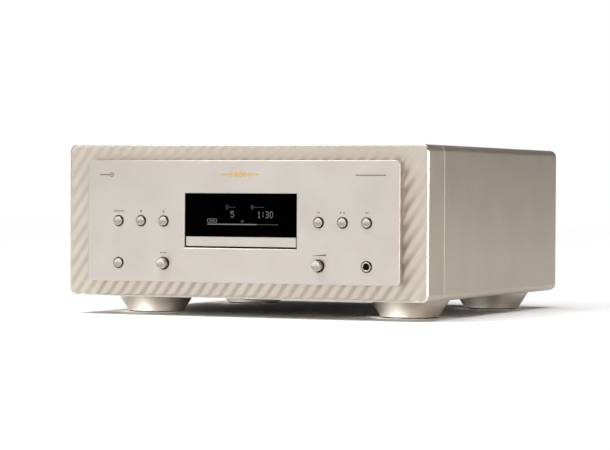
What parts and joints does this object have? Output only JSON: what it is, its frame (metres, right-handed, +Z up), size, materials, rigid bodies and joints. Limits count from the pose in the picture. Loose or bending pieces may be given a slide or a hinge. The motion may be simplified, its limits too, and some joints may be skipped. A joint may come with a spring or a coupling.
{
  "type": "cd player",
  "caption": "Hi-fi disc player with a floating front plate, disc drawer, display window, transport buttons, rotary controls, headphone socket and turned feet.",
  "frame": {"origin": "middle of the footprint, on the surface that the feet stand on", "axes": "+X right and +Y back seen from the front, +Z up"},
  "size_m": [0.44, 0.465, 0.193],
  "materials": {
    "champagne_aluminium": "bead-blasted and anodised champagne aluminium",
    "brushed_champagne": "brushed and anodised champagne aluminium",
    "spun_aluminium": "turned aluminium with a spun face",
    "smoked_glass": "smoked display window",
    "frosted_acrylic": "frosted light-guide acrylic",
    "black_plastic": "moulded black ABS",
    "grey_plastic": "moulded grey ABS",
    "white_acetal": "moulded acetal",
    "circuit_board": "solder-masked circuit board",
    "copper_plate": "copper-plated steel",
    "zinc_steel": "zinc-plated steel",
    "dark_paint": "powder-coated steel",
    "gold_plate": "gold-plated brass",
    "black_rubber": "moulded rubber",
    "optic_glass": "coated lens",
    "capacitor_sleeve": "shrunk PET sleeve",
    "black_anodised": "black anodised extrusion"
  },
  "bodies": {
    "housing": {"front_bezel": "champagne_aluminium", "center_plate": "brushed_champagne", "light_guide": "frosted_acrylic", "display_window": "smoked_glass", "display_module": "black_plastic", "phones_jack": "zinc_steel", "front_control_board": "circuit_board", "input_encoder": "zinc_steel", "level_potentiometer": "zinc_steel", "base_chassis": "zinc_steel", "left_side_panel": "champagne_aluminium", "right_side_panel": "champagne_aluminium", "top_cover": "champagne_aluminium", "rear_panel": "copper_plate", "foot_front_left": "spun_aluminium", "foot_front_right": "spun_aluminium", "foot_rear_left": "spun_aluminium", "foot_rear_right": "spun_aluminium", "foot_pads": "black_rubber", "foot_screws": "zinc_steel", "case_screws": "zinc_steel", "transformer": "capacitor_sleeve", "transformer_cover": "copper_plate", "power_supply_board": "circuit_board", "reservoir_capacitors": "capacitor_sleeve", "heat_sink": "black_anodised", "audio_board": "circuit_board", "converter_shield": "copper_plate", "digital_board": "circuit_board", "mechanism_frame": "grey_plastic", "mechanism_cover": "dark_paint", "loading_motor": "zinc_steel", "drive_belt": "black_rubber", "rca_outputs": "gold_plate", "xlr_outputs": "black_plastic", "digital_sockets": "black_plastic", "ac_inlet": "black_plastic"},
    "tray": {"disc_tray": "grey_plastic", "drawer_front": "brushed_champagne"},
    "loading_gear": {"loading_gear": "white_acetal"},
    "motor_pulley": {"motor_pulley": "white_acetal"},
    "traverse": {"traverse_chassis": "zinc_steel", "traverse_bushes": "black_rubber", "guide_rails": "zinc_steel", "spindle_motor": "zinc_steel", "sled_motor": "zinc_steel"},
    "turntable": {"turntable": "black_plastic"},
    "sled": {"pickup_sled": "black_plastic", "pickup_lens": "optic_glass"},
    "sled_gear": {"sled_gear": "white_acetal"},
    "clamper_puck": {"clamper_puck": "white_acetal"},
    "input_knob": {"input_knob": "spun_aluminium"},
    "phones_level_knob": {"phones_level_knob": "spun_aluminium"},
    "sound_mode_button": {"sound_mode_button": "spun_aluminium"},
    "stop_button": {"stop_button": "spun_aluminium"},
    "eject_button": {"eject_button": "spun_aluminium"},
    "previous_button": {"previous_button": "spun_aluminium"},
    "play_pause_button": {"play_pause_button": "spun_aluminium"},
    "next_button": {"next_button": "spun_aluminium"},
    "power_button": {"power_button": "spun_aluminium"}
  },
  "joints": [
    {"name": "tray_slide", "type": "slide", "parent": "housing", "child": "tray", "axis": [0, -1, 0], "range_m": [0, 0.145]},
    {"name": "loading_gear_spin", "type": "hinge", "parent": "housing", "child": "loading_gear", "pos_m": [0.0746, -0.19, 0.082], "axis": [0, 0, 1], "range_deg": [-5, 930]},
    {"name": "motor_pulley_spin", "type": "hinge", "parent": "housing", "child": "motor_pulley", "pos_m": [0.0746, -0.15, 0.073], "axis": [0, 0, 1], "range_deg": [-15, 2989]},
    {"name": "traverse_lift", "type": "slide", "parent": "housing", "child": "traverse", "axis": [0, 0, 1], "range_m": [0, 0.009]},
    {"name": "turntable_spin", "type": "hinge", "parent": "traverse", "child": "turntable", "pos_m": [0, -0.143, 0.0787], "axis": [0, 0, 1], "continuous": true},
    {"name": "sled_slide", "type": "slide", "parent": "traverse", "child": "sled", "axis": [0, 1, 0], "range_m": [0, 0.036]},
    {"name": "sled_gear_spin", "type": "hinge", "parent": "traverse", "child": "sled_gear", "pos_m": [0.031, -0.091, 0.0635], "axis": [0, 0, 1], "range_deg": [-349, 5]},
    {"name": "clamper_spin", "type": "hinge", "parent": "housing", "child": "clamper_puck", "pos_m": [0, -0.143, 0.0935], "axis": [0, 0, 1], "continuous": true},
    {"name": "input_knob_turn", "type": "hinge", "parent": "housing", "child": "input_knob", "pos_m": [-0.095, -0.2245, 0.0594], "axis": [0, -1, 0], "continuous": true},
    {"name": "phones_level_turn", "type": "hinge", "parent": "housing", "child": "phones_level_knob", "pos_m": [0.095, -0.2245, 0.0594], "axis": [0, -1, 0], "range_deg": [-150, 150]},
    {"name": "sound_mode_press", "type": "slide", "parent": "housing", "child": "sound_mode_button", "axis": [0, 1, 0], "range_m": [0, 0.0008], "stiffness_N_per_m": 500, "springref_m": -0.0004},
    {"name": "stop_press", "type": "slide", "parent": "housing", "child": "stop_button", "axis": [0, 1, 0], "range_m": [0, 0.0008], "stiffness_N_per_m": 500, "springref_m": -0.0004},
    {"name": "eject_press", "type": "slide", "parent": "housing", "child": "eject_button", "axis": [0, 1, 0], "range_m": [0, 0.0008], "stiffness_N_per_m": 500, "springref_m": -0.0004},
    {"name": "previous_press", "type": "slide", "parent": "housing", "child": "previous_button", "axis": [0, 1, 0], "range_m": [0, 0.0008], "stiffness_N_per_m": 500, "springref_m": -0.0004},
    {"name": "play_pause_press", "type": "slide", "parent": "housing", "child": "play_pause_button", "axis": [0, 1, 0], "range_m": [0, 0.0008], "stiffness_N_per_m": 500, "springref_m": -0.0004},
    {"name": "next_press", "type": "slide", "parent": "housing", "child": "next_button", "axis": [0, 1, 0], "range_m": [0, 0.0008], "stiffness_N_per_m": 500, "springref_m": -0.0004},
    {"name": "power_press", "type": "slide", "parent": "housing", "child": "power_button", "axis": [0, 1, 0], "range_m": [0, 0.0008], "stiffness_N_per_m": 500, "springref_m": -0.0004}
  ],
  "couplings": [
    {"joint": "loading_gear_spin", "follows": "tray_slide", "rad_per_m": 111.11},
    {"joint": "motor_pulley_spin", "follows": "tray_slide", "rad_per_m": 358.02},
    {"joint": "sled_gear_spin", "follows": "sled_slide", "rad_per_m": -166.67}
  ]
}
